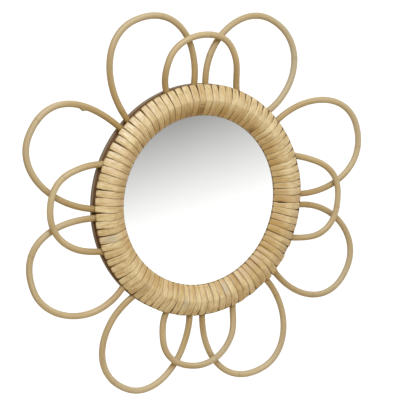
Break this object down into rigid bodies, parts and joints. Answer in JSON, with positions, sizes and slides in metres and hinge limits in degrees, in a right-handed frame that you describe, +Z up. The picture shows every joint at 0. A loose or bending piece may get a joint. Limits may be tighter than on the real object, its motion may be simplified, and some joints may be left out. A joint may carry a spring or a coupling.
{
  "type": "wall mirror",
  "caption": "Round wall mirror in a ring bound with rattan peel, with bent cane loops set round it like the petals of a flower.",
  "frame": {"origin": "centre of the backing board's back face, on the wall", "axes": "+Z up, +Y into the wall, +X to the right of someone who looks into the mirror"},
  "size_m": [0.4819, 0.0262, 0.4765],
  "materials": {
    "stained_board": "dark brown stained board, matt",
    "mirror_glass": "silvered float glass",
    "rattan_peel": "flat rattan peel with its natural satin skin",
    "rattan_cane": "peeled round rattan, clear matt finish"
  },
  "bodies": {
    "root": {"backing_board": "stained_board", "mirror_glass": "mirror_glass", "wrapped_ring": "rattan_peel", "large_loop_1": "rattan_cane", "large_loop_2": "rattan_cane", "large_loop_3": "rattan_cane", "large_loop_4": "rattan_cane", "large_loop_5": "rattan_cane", "large_loop_6": "rattan_cane", "large_loop_7": "rattan_cane", "large_loop_8": "rattan_cane", "small_loop_right": "rattan_cane", "small_loop_top": "rattan_cane", "small_loop_left": "rattan_cane", "small_loop_bottom": "rattan_cane"}
  },
  "joints": []
}
